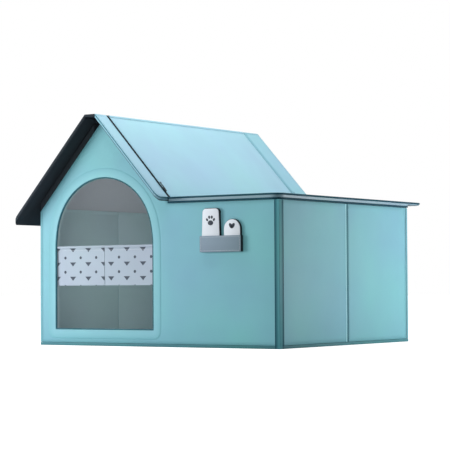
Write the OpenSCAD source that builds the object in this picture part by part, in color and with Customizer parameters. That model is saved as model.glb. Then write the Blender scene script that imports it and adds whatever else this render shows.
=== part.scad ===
// Folding pet house: a gabled room with a flat-roofed extension beside it.
// Every panel is a stiff board in a fabric cover with a lining, and fabric folds are the hinges.
// Origin: centre of the base, on the floor. +X runs to the right along the front, +Y to the back, +Z up.

/* [House] */
// Width of the front wall
body_w = 620; // [580:5:680]
// Depth from the front wall's face to the rear wall's face
body_d = 530; // [460:5:560]
// Height of the flat-roofed walls above the floor
wall_h = 298; // [270:1:330]

/* [Panel layers] */
// Padded cover on a wall's outer face
cover_t = 3; // [2:0.5:5]
// Stiff board inside a wall
board_t = 3; // [2:0.5:5]
// Lining on a wall's inner face
lining_t = 2; // [1:0.5:3]
// Width of the cover's turned edge round a board
rim = 5; // [3:0.5:10]

/* [Base] */
// Cover under the base board
base_cover_t = 1.5; // [1:0.5:3]
// Base board
base_board_t = 3; // [2:0.5:6]
// Floor mat on the base board
floor_mat_t = 1.5; // [1:0.5:3]

/* [Gable roof] */
// Height of the ridge above the floor
ridge_h = 491; // [470:1:530]
// Width of the flexible ridge strip
ridge_w = 28; // [20:1:34]
// Centre of the ridge, from the left wall's outer face
ridge_from_left = 169.5; // [150:0.5:185]
// Slope of both roof panels, in degrees
pitch = 47.7; // [44:0.1:50]
// Horizontal reach of the left eave beyond the left wall
eave_reach = 45; // [20:1:70]
// Front overhang of the gable roof
front_overhang = 37; // [20:1:60]
// Rear overhang of the gable roof
rear_overhang = 56; // [30:1:80]
// Rounding of the roof's low corners, seen from above
roof_corner_r = 11; // [4:1:16]
// Cover of a roof panel
roof_cover_t = 2.5; // [1.5:0.5:4]
// Board of a roof panel
roof_board_t = 2.5; // [1.5:0.5:4]
// Black lining under a roof panel
roof_lining_t = 1; // [0.6:0.2:2]
// Thick insulating pad under the left roof panel
roof_pad_t = 13.6; // [8:0.2:16]
// Thickness of the ridge strip, with its lining
ridge_t = 5; // [3:0.5:7]

/* [Lid] */
// Cover on top of the flat lid
lid_cover_t = 2.5; // [1.5:0.5:4]
// Board in the lid
lid_board_t = 6; // [3:0.5:8]
// Lining under the lid
lid_lining_t = 4.5; // [1:0.5:6]
// Radius of the lid's two right corners, seen from above
lid_corner_r = 22; // [8:1:30]
// Rear overhang of the lid
lid_overhang = 72; // [40:1:90]
// Thickness of the lid's rear overhang, which has no board
lid_flap_t = 6; // [4:0.5:8]
// Height of the dark piping along the lid's edges
piping_h = 3.6; // [1.5:0.1:4.5]
// How far the piping stands out
piping_out = 1.4; // [0.5:0.1:2]

/* [Zips] */
// Width of the zip tape
zip_w = 8; // [7.5:0.5:12]
// How far the zip's teeth stand above the roof
zip_proud = 0.8; // [0.4:0.2:1.6]
// Length of a zip slider
slider_l = 12; // [10:1:16]
// Thickness of a zip slider
slider_t = 2.6; // [2:0.2:4]
// Length of the slider's pull tab
pull_l = 18; // [14:1:26]
// Distance of the closed slider from the foot of the roof
slider_from_foot = 14; // [12:1:30]

/* [Doorway] */
// Centre of the doorway, from the left wall's outer face
door_from_left = 176; // [170:1:195]
// Clear width of the doorway
door_w = 260; // [220:2:270]
// Height of the sill above the floor
door_sill = 37; // [25:1:60]
// Height of the arch's crown above the floor
door_top = 356.5; // [340:0.5:365]
// Rise of the arch above its springing
arch_rise = 148; // [140:1:170]
// How much smaller the radius of the arch's crown is than half the doorway's width
crown_narrowing = 2; // [1:0.5:8]
// Width of the binding round the doorway
trim_w = 3; // [2:0.5:5]
// How far the binding stands out of the wall
trim_proud = 0.5; // [0.3:0.1:1]

/* [Curtain] */
// Height of the curtain rod's centre above the floor
rod_z = 211; // [205:1:225]
// Radius of the curtain rod
rod_r = 2; // [1.5:0.1:2.2]
// How deep each rod end sits in the doorway's binding
rod_seat = 1.5; // [1:0.1:1.8]
// Wall of the curtain's rod pocket
sleeve_wall = 0.8; // [0.6:0.1:1]
// Height of the curtain's lower edge above the floor
curtain_low_z = 129; // [100:1:150]
// Thickness of the curtain cloth
cloth_t = 1.2; // [0.8:0.1:1.6]
// Depth of the curtain's soft folds, from the middle
fold_depth = 0.9; // [0.5:0.1:1.2]
// Folds across one curtain
fold_count = 4; // [2:1:6]
// Gap between the two curtains
curtain_gap = 1; // [0.6:0.2:4]

/* [Corner and pocket] */
// Thickness of the corner binding
corner_t = 1.2; // [0.8:0.1:2]
// Width of the corner binding on the front
corner_front_w = 10; // [6:1:16]
// Width of the corner binding on the right side
corner_side_w = 14; // [8:1:20]
// Distance of the wall pocket from the right wall's outer face
pocket_from_right = 86; // [70:1:110]
// Width of the pocket
pocket_w = 101; // [96:1:120]
// Height of the pocket
pocket_h = 33; // [24:1:45]
// Height of the pocket's lower edge above the floor
pocket_z = 195; // [150:1:200]
// Depth of the pocket
pocket_d = 9; // [8.5:0.5:14]
// Thickness of the pocket's front and of its sides
pocket_t = 1.5; // [1:0.1:1.8]
// Thickness of a tag's dark body
tag_body_t = 5.5; // [3:0.5:5.5]
// Thickness of a tag's white face
tag_face_t = 1.2; // [0.8:0.1:1.4]
// Width of the dark edge round a white face
tag_edge = 1; // [0.5:0.1:1.5]
// Width of the tall tag at its foot
tall_tag_w = 48; // [40:1:48]
// Width of the tall tag at its shoulders
tall_tag_top_w = 42; // [34:1:44]
// Height of the tall tag above the pocket's floor
tall_tag_h = 88; // [76:1:92]
// Rounding of the tall tag's shoulders
tall_tag_r = 9; // [4:1:12]
// Width of the short, round-topped tag
short_tag_w = 41; // [34:1:42]
// Height of the short tag above the pocket's floor
short_tag_h = 65; // [56:1:70]
// Distance of each tag from its side of the pocket
tag_margin = 2; // [1.6:0.1:3]

/* [Clearances] */
// Gap between a wall that moves and what it passes
seat_gap = 0.3; // [0.2:0.05:0.6]
// Gap between the roof and the gables under it
roof_gap = 0.4; // [0.3:0.05:0.8]
// Gap round a board in its cover
board_fit = 0.2; // [0.1:0.05:0.4]
// Gap between the layers of a sloping panel
layer_gap = 0.05; // [0.02:0.01:0.1]

/* [Hidden] */
$fn = 72;
over = 1;
wall_t = cover_t + board_t + lining_t;
half_w = body_w / 2;
half_d = body_d / 2;
base_h = base_cover_t + base_board_t + floor_mat_t;
wall_z = base_h + seat_gap;
ridge_l = -half_w + ridge_from_left - ridge_w / 2;
ridge_r = ridge_l + ridge_w;
tan_p = tan(pitch);
cos_p = cos(pitch);
sin_p = sin(pitch);
lining_d = roof_cover_t + roof_board_t;
sheet_t = lining_d + roof_lining_t;
left_stack = sheet_t + roof_pad_t + roof_gap;
right_stack = sheet_t + roof_gap;
roof_y0 = -half_d - front_overhang;
roof_y1 = half_d + rear_overhang;
eave_x = -half_w - eave_reach;
lid_t = lid_cover_t + lid_board_t + lid_lining_t;
lid_z = wall_h + seat_gap;
lid_top = lid_z + lid_t;
foot_x = ridge_r + (ridge_h - lid_top) / tan_p;
foot_s = (foot_x - ridge_r) / cos_p;
lid_step_x = foot_x - seat_gap;
gable_seam_x = min(ridge_r + (ridge_h - right_stack / cos_p - wall_h) / tan_p, foot_x);
lid_y1 = half_d + lid_overhang;
right_h = wall_h - wall_z;
left_h = left_z(-half_w, left_stack) - seat_gap - wall_z;
side_l = half_d - wall_t - 2 * seat_gap;
front_panel_y = -half_d + wall_t + seat_gap;
front_zip_y = -half_d;
rear_zip_y = half_d - zip_w;
panel_x1 = lid_step_x;
panel_y0 = front_zip_y + zip_w + seat_gap;
panel_y1 = rear_zip_y - seat_gap;
door_x = -half_w + door_from_left;
spring_z = door_top - arch_rise;
crown_r = door_w / 2 - crown_narrowing;
crown_z = arch_rise - crown_r;
haunch_r = (pow(door_w / 2, 2) + pow(crown_z, 2) - pow(crown_r, 2)) / (door_w - 2 * crown_r);
haunch_x = haunch_r - door_w / 2;
rod_y = -half_d + wall_t / 2;
sleeve_r = rod_r + seat_gap + sleeve_wall;
rod_half = arch_half(rod_z - spring_z);
curtain_half = arch_half(rod_z + sleeve_r - spring_z) - 2 * seat_gap;
curtain_w = curtain_half - curtain_gap / 2;
pocket_x = half_w - pocket_from_right - pocket_w;

teal = "#6fb7bd";
pale_blue = "#a9cfe0";
dark_teal = "#1f4a52";
charcoal = "#23272d";
grey_felt = "#7d8a8e";
board_brown = "#b89a72";
white = "#dfe8f2";

// Height of the left roof slope at x, at a depth below its top face
function left_z(x, depth) = ridge_h - (ridge_l - x) * tan_p - depth / cos_p;
// Height of the right roof slope at x, at a depth below its top face
function right_z(x, depth) = ridge_h - (x - ridge_r) * tan_p - depth / cos_p;
// Half the doorway's clear width at a height above the arch's springing, in its haunches
function arch_half(z) = sqrt(pow(haunch_r, 2) - pow(z, 2)) - haunch_x;

// Solid of an upright XZ outline from y to y + t
module upright(y, t) {
    translate([0, y + t, 0])
        rotate([90, 0, 0])
            linear_extrude(t)
                children();
}

// Outline of the front and rear walls, stepped down at the lid, with every edge drawn in by inset
module wall_outline(inset) {
    left_d = left_stack + inset;
    right_d = right_stack + inset;
    apex_x = (ridge_l + ridge_r) / 2 + (left_d - right_d) / (2 * sin_p);
    top = wall_h - inset;
    shoulder_x = ridge_r + (ridge_h - right_d / cos_p - top) / tan_p;
    difference() {
        intersection() {
            polygon([
                [-half_w + inset, wall_z + inset],
                [half_w - inset, wall_z + inset],
                [half_w - inset, top],
                [shoulder_x, top],
                [apex_x, right_z(apex_x, right_d)],
                [-half_w + inset, left_z(-half_w + inset, left_d)]
            ]);
            translate([-half_w, 0])
                square([body_w, ridge_h - ridge_t - roof_gap - inset]);
        }
        translate([lid_step_x - inset, top])
            square([body_w, ridge_h]);
    }
}

// Arched doorway outline, grown outwards by grow
module door_outline(grow) {
    tangent_z = crown_z + (crown_r + grow) * crown_z / (haunch_r - crown_r);
    translate([door_x, 0]) {
        translate([-door_w / 2 - grow, door_sill - grow])
            square([door_w + 2 * grow, spring_z - door_sill + grow]);
        translate([0, spring_z]) {
            intersection() {
                translate([haunch_x, 0]) circle(r = haunch_r + grow);
                translate([-haunch_x, 0]) circle(r = haunch_r + grow);
                translate([-door_w, 0]) square([2 * door_w, tangent_z]);
            }
            intersection() {
                translate([0, crown_z]) circle(r = crown_r + grow);
                translate([-door_w, tangent_z]) square([2 * door_w, door_w]);
            }
        }
    }
}

// Front wall outline with its doorway
module front_outline(inset, door_grow) {
    difference() {
        wall_outline(inset);
        door_outline(door_grow);
    }
}

module base_cover() {
    color(teal)
        difference() {
            translate([-half_w, -half_d, 0]) cube([body_w, body_d, base_h]);
            translate([-half_w + rim, -half_d + rim, base_cover_t])
                cube([body_w - 2 * rim, body_d - 2 * rim, base_h]);
        }
}

// Layer of the base inside the turned edge of its cover
module base_layer(z, t) {
    inset = rim + board_fit;
    translate([-half_w + inset, -half_d + inset, z])
        cube([body_w - 2 * inset, body_d - 2 * inset, t]);
}

module base_board() {
    color(board_brown) base_layer(base_cover_t, base_board_t);
}

module floor_mat() {
    color(grey_felt) base_layer(base_cover_t + base_board_t, floor_mat_t);
}

// Part of the front wall's cover, from x0 to x1: its two parts are sewn together at the foot of the roof
module front_cover(x0, x1) {
    color(teal)
        intersection() {
            difference() {
                upright(-half_d, wall_t) front_outline(0, trim_w);
                upright(-half_d + cover_t, wall_t) front_outline(rim, trim_w + rim);
            }
            translate([x0, -body_d, 0]) cube([x1 - x0, body_d, ridge_h]);
        }
}

module front_gable_cover() {
    front_cover(-half_w, gable_seam_x);
}

module front_low_cover() {
    front_cover(gable_seam_x, half_w);
}

module front_board() {
    color(board_brown)
        upright(-half_d + cover_t, board_t)
            front_outline(rim + board_fit, trim_w + rim + board_fit);
}

module front_lining() {
    color(grey_felt)
        upright(-half_d + cover_t + board_t, lining_t)
            front_outline(rim + board_fit, trim_w + rim + board_fit);
}

module door_binding() {
    color(dark_teal)
        difference() {
            upright(-half_d - trim_proud, wall_t + 2 * trim_proud)
                difference() {
                    door_outline(trim_w - board_fit);
                    door_outline(0);
                }
            translate([door_x - door_w, rod_y, rod_z])
                rotate([0, 90, 0])
                    cylinder(r = rod_r + board_fit / 2, h = 2 * door_w);
        }
}

module curtain_rod() {
    length = 2 * (rod_half + rod_seat);
    color("silver")
        translate([door_x - length / 2, rod_y, rod_z])
            rotate([0, 90, 0])
                cylinder(r = rod_r, h = length);
}

module corner_binding() {
    out = half_w + seat_gap;
    color(dark_teal)
        linear_extrude(wall_h)
            polygon([
                [half_w - corner_front_w, -half_d],
                [half_w - corner_front_w, -half_d - corner_t],
                [out + corner_t, -half_d - corner_t],
                [out + corner_t, -half_d + corner_side_w],
                [out, -half_d + corner_side_w],
                [out, -half_d]
            ]);
}

module pocket_front() {
    color("#8b98a3")
        translate([pocket_x, -half_d - pocket_d, pocket_z])
            cube([pocket_w, pocket_t, pocket_h]);
}

module pocket_gusset() {
    depth = pocket_d - pocket_t;
    color(charcoal)
        translate([pocket_x, -half_d - depth, pocket_z])
            difference() {
                cube([pocket_w, depth, pocket_h]);
                translate([pocket_t, -over, pocket_t])
                    cube([pocket_w - 2 * pocket_t, depth + 2 * over, pocket_h]);
            }
}

// Tapering tag with rounded shoulders, drawn in by inset except at its foot
module tall_tag_outline(inset) {
    foot = tall_tag_w / 2 - inset;
    head = tall_tag_top_w / 2 - inset;
    top = tall_tag_h - inset;
    r = tall_tag_r - inset;
    polygon([
        [-foot, 0],
        [foot, 0],
        [head, top - r],
        [-head, top - r]
    ]);
    translate([-head + r, top - r]) square([2 * (head - r), r]);
    intersection() {
        union() {
            translate([-head + r, top - r]) circle(r = r);
            translate([head - r, top - r]) circle(r = r);
        }
        translate([-tall_tag_w, top - r]) square([2 * tall_tag_w, r]);
    }
}

// Tag with a half-round top, drawn in by inset except at its foot
module short_tag_outline(inset) {
    r = short_tag_w / 2 - inset;
    straight = short_tag_h - short_tag_w / 2;
    translate([-r, 0]) square([2 * r, straight]);
    intersection() {
        translate([0, straight]) circle(r = r);
        translate([-short_tag_w, straight]) square([2 * short_tag_w, short_tag_w]);
    }
}

// Place of a tag's foot: its own centre in x, on the pocket's floor
module at_tall_tag() {
    translate([pocket_x + tag_margin + tall_tag_w / 2, 0, pocket_z + pocket_t]) children();
}

module at_short_tag() {
    translate([pocket_x + pocket_w - tag_margin - short_tag_w / 2, 0, pocket_z + pocket_t])
        children();
}

module tall_tag_body() {
    color(charcoal)
        at_tall_tag() upright(-half_d - tag_body_t, tag_body_t) tall_tag_outline(0);
}

module tall_tag_face() {
    color(white)
        at_tall_tag()
            upright(-half_d - tag_body_t - tag_face_t, tag_face_t) tall_tag_outline(tag_edge);
}

module short_tag_body() {
    color(charcoal)
        at_short_tag() upright(-half_d - tag_body_t, tag_body_t) short_tag_outline(0);
}

module short_tag_face() {
    color(white)
        at_short_tag()
            upright(-half_d - tag_body_t - tag_face_t, tag_face_t) short_tag_outline(tag_edge);
}

// One curtain from x0 to the right: a rod pocket over a softly folded panel
module curtain(x0) {
    steps = 12 * fold_count;
    top = rod_z - rod_r - seat_gap;
    wave = [for (i = [0:steps]) [i * curtain_w / steps, fold_depth * sin(360 * fold_count * i / steps)]];
    front = [for (p = wave) [p.x, p.y - cloth_t / 2]];
    back = [for (i = [steps:-1:0]) [wave[i].x, wave[i].y + cloth_t / 2]];
    color(white)
        translate([x0, rod_y, 0])
            difference() {
                union() {
                    translate([0, 0, curtain_low_z])
                        linear_extrude(top - curtain_low_z)
                            polygon(concat(front, back));
                    translate([0, 0, rod_z]) rotate([0, 90, 0]) cylinder(r = sleeve_r, h = curtain_w);
                }
                translate([-over, 0, rod_z])
                    rotate([0, 90, 0])
                        cylinder(r = rod_r + seat_gap, h = curtain_w + 2 * over);
            }
}

module curtain_left() {
    curtain(door_x - curtain_half);
}

module curtain_right() {
    curtain(door_x + curtain_gap / 2);
}

// Cover of a flat side panel: l long, outer face on y = 0, standing on z = 0
module slab_cover(l, h) {
    color(teal)
        difference() {
            cube([l, wall_t, h]);
            translate([rim, cover_t, rim]) cube([l - 2 * rim, wall_t, h - 2 * rim]);
        }
}

// Layer inside a side panel, from y to y + t
module slab_layer(l, h, y, t) {
    inset = rim + board_fit;
    translate([inset, y, inset]) cube([l - 2 * inset, t, h - 2 * inset]);
}

module slab_board(l, h) {
    color(board_brown) slab_layer(l, h, cover_t, board_t);
}

module slab_lining(l, h) {
    color(grey_felt) slab_layer(l, h, cover_t + board_t, lining_t);
}

// Stands a side panel on the right, from y0 towards the back
module on_right(y0) {
    translate([half_w, y0, wall_z]) rotate([0, 0, 90]) children();
}

// Stands a side panel on the left, from y1 towards the front
module on_left(y1) {
    translate([-half_w, y1, wall_z]) rotate([0, 0, -90]) children();
}

module right_front_cover() {
    on_right(front_panel_y) slab_cover(side_l, right_h);
}

module right_front_board() {
    on_right(front_panel_y) slab_board(side_l, right_h);
}

module right_front_lining() {
    on_right(front_panel_y) slab_lining(side_l, right_h);
}

module right_rear_cover() {
    on_right(seat_gap) slab_cover(side_l, right_h);
}

module right_rear_board() {
    on_right(seat_gap) slab_board(side_l, right_h);
}

module right_rear_lining() {
    on_right(seat_gap) slab_lining(side_l, right_h);
}

module left_front_cover() {
    on_left(-seat_gap) slab_cover(side_l, left_h);
}

module left_front_board() {
    on_left(-seat_gap) slab_board(side_l, left_h);
}

module left_front_lining() {
    on_left(-seat_gap) slab_lining(side_l, left_h);
}

module left_rear_cover() {
    on_left(-front_panel_y) slab_cover(side_l, left_h);
}

module left_rear_board() {
    on_left(-front_panel_y) slab_board(side_l, left_h);
}

module left_rear_lining() {
    on_left(-front_panel_y) slab_lining(side_l, left_h);
}

// Part of the rear wall's cover, from x0 to x1, sewn together in the same way
module rear_cover(x0, x1) {
    color(teal)
        intersection() {
            difference() {
                upright(half_d - wall_t, wall_t) wall_outline(0);
                upright(half_d - cover_t - wall_t, wall_t) wall_outline(rim);
            }
            translate([x0, 0, 0]) cube([x1 - x0, body_d, ridge_h]);
        }
}

module rear_gable_cover() {
    rear_cover(-half_w, gable_seam_x);
}

module rear_low_cover() {
    rear_cover(gable_seam_x, half_w);
}

module rear_board() {
    color(board_brown)
        upright(half_d - cover_t - board_t, board_t) wall_outline(rim + board_fit);
}

module rear_lining() {
    color(grey_felt)
        upright(half_d - wall_t, lining_t) wall_outline(rim + board_fit);
}

// Layer of the left roof slope between two depths, from x0 up to x1 and from y0 to y1
module left_layer(x0, x1, y0, y1, d0, d1) {
    upright(y0, y1 - y0)
        polygon([
            [x0, left_z(x0, d0)],
            [x0, left_z(x0, d1)],
            [x1, left_z(x1, d1)],
            [x1, left_z(x1, d0)]
        ]);
}

// Layer of the right roof slope between two depths, from x0 down to x1 and from y0 to y1
module right_layer(x0, x1, y0, y1, d0, d1) {
    upright(y0, y1 - y0)
        polygon([
            [x0, right_z(x0, d0)],
            [x0, right_z(x0, d1)],
            [x1, right_z(x1, d1)],
            [x1, right_z(x1, d0)]
        ]);
}

// Plan of the left roof with its two low corners rounded, as a tall prism
module left_plan(inset) {
    x0 = eave_x + inset;
    y0 = roof_y0 + inset;
    y1 = roof_y1 - inset;
    r = roof_corner_r;
    linear_extrude(ridge_h + over)
        union() {
            translate([x0 + r, y0]) square([ridge_l - x0 - r, y1 - y0]);
            translate([x0, y0 + r]) square([r, y1 - y0 - 2 * r]);
            translate([x0 + r, y0 + r]) circle(r = r);
            translate([x0 + r, y1 - r]) circle(r = r);
        }
}

module roof_left_cover() {
    color(pale_blue)
        difference() {
            intersection() {
                left_layer(eave_x, ridge_l, roof_y0, roof_y1, 0, lining_d);
                left_plan(0);
            }
            intersection() {
                left_layer(eave_x, ridge_l - rim, roof_y0, roof_y1, roof_cover_t, lining_d + over);
                left_plan(rim);
            }
        }
}

module roof_left_board() {
    color(board_brown)
        intersection() {
            left_layer(
                eave_x, ridge_l - rim - board_fit, roof_y0, roof_y1,
                roof_cover_t + layer_gap, lining_d - layer_gap
            );
            left_plan(rim + board_fit);
        }
}

module roof_left_lining() {
    color(charcoal)
        intersection() {
            left_layer(eave_x, ridge_l, roof_y0, roof_y1, lining_d + layer_gap, sheet_t);
            left_plan(0);
        }
}

module roof_left_pad() {
    color(charcoal)
        left_layer(
            -half_w, ridge_l - rim, -half_d, half_d,
            sheet_t + layer_gap, sheet_t + roof_pad_t
        );
}

module ridge_strip() {
    color(pale_blue)
        translate([ridge_l, roof_y0, ridge_h - ridge_t])
            cube([ridge_w - seat_gap, roof_y1 - roof_y0, ridge_t]);
}

// Plan of a roof flap from y0 to y1, with its outer low corner rounded, as a tall prism
module flap_plan(y0, y1, corner_y) {
    r = roof_corner_r;
    inner_y = corner_y < 0 ? y0 + r : y0;
    round_y = corner_y < 0 ? y0 + r : y1 - r;
    linear_extrude(ridge_h + over)
        union() {
            translate([ridge_l, y0]) square([panel_x1 - ridge_l - r, y1 - y0]);
            translate([ridge_l, inner_y]) square([panel_x1 - ridge_l, y1 - y0 - r]);
            translate([panel_x1 - r, round_y]) circle(r = r);
        }
}

// Fixed flap of the right slope that overhangs a gable, between two depths
module flap(y0, y1, corner_y, d0, d1) {
    intersection() {
        right_layer(ridge_r - seat_gap, panel_x1, y0, y1, d0, d1);
        flap_plan(y0, y1, corner_y);
    }
}

module front_flap() {
    color(pale_blue) flap(roof_y0, front_zip_y, -1, 0, lining_d);
}

module front_flap_lining() {
    color(charcoal) flap(roof_y0, front_zip_y, -1, lining_d + layer_gap, sheet_t);
}

module rear_flap() {
    color(pale_blue) flap(rear_zip_y + zip_w, roof_y1, 1, 0, lining_d);
}

module rear_flap_lining() {
    color(charcoal) flap(rear_zip_y + zip_w, roof_y1, 1, lining_d + layer_gap, sheet_t);
}

module front_zip() {
    color(charcoal)
        right_layer(ridge_r, panel_x1, front_zip_y, front_zip_y + zip_w, -zip_proud, sheet_t);
}

module rear_zip() {
    color(dark_teal)
        right_layer(ridge_r, panel_x1, rear_zip_y, rear_zip_y + zip_w, -zip_proud, sheet_t);
}

// Slider on the right slope: a round-ended block with a pull tab, centred on y
module slider(y) {
    r = zip_w / 2 - 1;
    straight = slider_l - 2 * r;
    s = foot_s - slider_from_foot - slider_l / 2;
    translate([ridge_r + s * cos_p, y, ridge_h - s * sin_p])
        rotate([0, pitch, 0])
            translate([0, 0, zip_proud + seat_gap]) {
                translate([-straight / 2, -r, 0]) cube([straight, 2 * r, slider_t]);
                for (side = [-1, 1])
                    translate([side * straight / 2, 0, 0]) cylinder(r = r, h = slider_t);
                translate([-pull_l, -r / 2, slider_t]) cube([pull_l, r, 1]);
                translate([-pull_l, 0, slider_t]) cylinder(r = r * 0.8, h = 1);
            }
}

module front_slider() {
    color("#303438") slider(front_zip_y + zip_w / 2);
}

module rear_slider() {
    color("#303438") slider(rear_zip_y + zip_w / 2);
}

module roof_right_cover() {
    color(pale_blue)
        difference() {
            right_layer(ridge_r, panel_x1, panel_y0, panel_y1, 0, lining_d);
            right_layer(
                ridge_r + rim, panel_x1 - rim, panel_y0 + rim, panel_y1 - rim,
                roof_cover_t, lining_d + over
            );
        }
}

module roof_right_board() {
    inset = rim + board_fit;
    color(board_brown)
        right_layer(
            ridge_r + inset, panel_x1 - inset, panel_y0 + inset, panel_y1 - inset,
            roof_cover_t + layer_gap, lining_d - layer_gap
        );
}

module roof_right_lining() {
    color(charcoal)
        right_layer(
            ridge_r, panel_x1, panel_y0, panel_y1,
            lining_d + layer_gap, sheet_t
        );
}

// Outline of the lid, seen from above, with its right corners rounded and its edges drawn in by inset
module lid_outline(inset) {
    x0 = foot_x + inset;
    x1 = half_w - inset;
    y0 = -half_d + inset;
    y1 = lid_y1 - inset;
    r = lid_corner_r - inset;
    translate([x0, y0]) square([x1 - r - x0, y1 - y0]);
    translate([x1 - r, y0 + r]) square([r, y1 - y0 - 2 * r]);
    for (y = [y0 + r, y1 - r])
        translate([x1 - r, y]) circle(r = r);
}

// Layer of the lid from z to z + t, as far back as y1, its edges drawn in by inset
module lid_layer(z, t, y1, inset) {
    translate([0, 0, z])
        linear_extrude(t)
            intersection() {
                lid_outline(inset);
                translate([foot_x, -body_d]) square([body_w, body_d + y1]);
            }
}

module lid_cover() {
    color(pale_blue)
        difference() {
            union() {
                lid_layer(lid_z, lid_t, half_d, 0);
                lid_layer(lid_top - lid_flap_t, lid_flap_t, lid_y1, 0);
            }
            lid_layer(lid_z - over, lid_t - lid_cover_t + over, half_d - rim, rim);
        }
}

module lid_board() {
    inset = rim + board_fit;
    color(board_brown) lid_layer(lid_z + lid_lining_t, lid_board_t, half_d - inset, inset);
}

module lid_lining() {
    inset = rim + board_fit;
    color(charcoal) lid_layer(lid_z, lid_lining_t, half_d - inset, inset);
}

// Piping along the lid's edge from z upwards, as far back as y1
module lid_cord(z, y1) {
    difference() {
        lid_layer(z, piping_h, y1, -piping_out);
        lid_layer(z - over, piping_h + 2 * over, y1 + over, 0);
        translate([foot_x - over, -half_d, z - over])
            cube([2 * over, lid_y1 + half_d, piping_h + 2 * over]);
    }
}

module lid_piping() {
    color(dark_teal) {
        lid_cord(lid_z, half_d);
        lid_cord(lid_top - piping_h, lid_y1 + piping_out);
    }
}

base_cover();
base_board();
floor_mat();
front_gable_cover();
front_low_cover();
front_board();
front_lining();
door_binding();
curtain_rod();
corner_binding();
pocket_front();
pocket_gusset();
tall_tag_body();
tall_tag_face();
short_tag_body();
short_tag_face();
curtain_left();
curtain_right();
right_front_cover();
right_front_board();
right_front_lining();
right_rear_cover();
right_rear_board();
right_rear_lining();
rear_gable_cover();
rear_low_cover();
rear_board();
rear_lining();
left_front_cover();
left_front_board();
left_front_lining();
left_rear_cover();
left_rear_board();
left_rear_lining();
roof_left_cover();
roof_left_board();
roof_left_lining();
roof_left_pad();
ridge_strip();
front_flap();
front_flap_lining();
rear_flap();
rear_flap_lining();
front_zip();
rear_zip();
front_slider();
rear_slider();
roof_right_cover();
roof_right_board();
roof_right_lining();
lid_cover();
lid_board();
lid_lining();
lid_piping();
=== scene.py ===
# %% [markdown]
# # A folding pet house
# The house is made like a suitcase lid: every wall and roof panel is a stiff board between two cloths,
# sewn shut along its edges. The CAD frame already says where each panel is and how it folds. This file
# dresses that frame: soft edges, seams, cords, zips, curtains, and the finishes of the cloths.

# %% Load the frame
import math

import bpy
from mathutils import Matrix, Quaternion, Vector, kdtree, noise


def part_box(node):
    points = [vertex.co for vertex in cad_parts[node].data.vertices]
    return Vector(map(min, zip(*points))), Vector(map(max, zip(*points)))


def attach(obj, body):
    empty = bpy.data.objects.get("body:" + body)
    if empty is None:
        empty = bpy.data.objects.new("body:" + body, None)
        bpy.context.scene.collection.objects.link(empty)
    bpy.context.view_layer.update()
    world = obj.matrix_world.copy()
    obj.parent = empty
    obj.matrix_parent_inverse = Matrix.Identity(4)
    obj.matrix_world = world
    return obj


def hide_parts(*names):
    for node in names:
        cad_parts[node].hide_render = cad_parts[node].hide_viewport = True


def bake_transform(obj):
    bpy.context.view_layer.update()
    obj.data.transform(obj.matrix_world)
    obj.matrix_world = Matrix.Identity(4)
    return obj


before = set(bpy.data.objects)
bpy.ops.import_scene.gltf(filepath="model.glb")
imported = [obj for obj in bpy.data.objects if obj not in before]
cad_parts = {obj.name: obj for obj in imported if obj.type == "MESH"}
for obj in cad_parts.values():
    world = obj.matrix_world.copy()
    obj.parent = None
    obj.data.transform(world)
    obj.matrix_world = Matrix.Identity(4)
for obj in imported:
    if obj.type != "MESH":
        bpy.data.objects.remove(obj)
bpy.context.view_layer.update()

# %% [markdown]
# ## Sizes
# Everything is in metres, in the frame's own axes: X to the right along the front wall, Y from front
# to back, Z up. Places are read from the boxes of the CAD nodes, so that a changed frame moves the
# dressing with it. Only shapes that a box can't tell, such as the pitch, are written down.

# %% Sizes from the frame
MM = 0.001
PITCH = math.radians(47.7)
X, Y, Z = Vector((1, 0, 0)), Vector((0, 1, 0)), Vector((0, 0, 1))

wall_low, wall_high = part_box("front_gable_cover")
wall_high.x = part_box("front_low_cover")[1].x
side_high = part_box("right_front_cover")[1]
ridge_low, ridge_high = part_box("ridge_strip")
slope_low, slope_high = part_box("roof_right_cover")
left_low, left_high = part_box("roof_left_cover")
lid_low, lid_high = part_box("lid_cover")
door_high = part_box("door_binding")[1]

right_down = Vector((math.cos(PITCH), 0, -math.sin(PITCH)))
right_out = Vector((math.sin(PITCH), 0, math.cos(PITCH)))
left_down = Vector((-right_down.x, 0, right_down.z))
left_out = Vector((-right_out.x, 0, right_out.z))
wall_y_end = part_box("rear_low_cover")[1].y

# %% [markdown]
# ## Camera
# The photograph was taken from low down at the front right, with a long lens, so upright lines stay
# almost parallel. The frame of the picture is square.

# %% Camera
CAMERA_PLACE = Vector((2.185, -3.177, 0.126))
CAMERA_AIM = Vector((-0.5667, 0.8231, 0.0349))
CAMERA_ROLL = math.radians(-0.33)
CAMERA_LENS = 139.6

bpy.ops.object.camera_add(location=CAMERA_PLACE)
camera = bpy.context.object
camera.name = "photo_camera"
camera.rotation_mode = "QUATERNION"
camera.rotation_quaternion = CAMERA_AIM.to_track_quat("-Z", "Y") @ Quaternion(Z, CAMERA_ROLL)
camera.data.lens = CAMERA_LENS
bpy.context.scene.camera = camera
print("lens:", camera.data.lens)

# %% [markdown]
# ## Light
# A pale room without hard shadows. Most lamps stand so near the house that their light fades along it:
# one at the left of the doorway, one behind the right wall's far end, one above the ridge and a weak
# one low in front. A small one inside lights the room.

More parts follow.
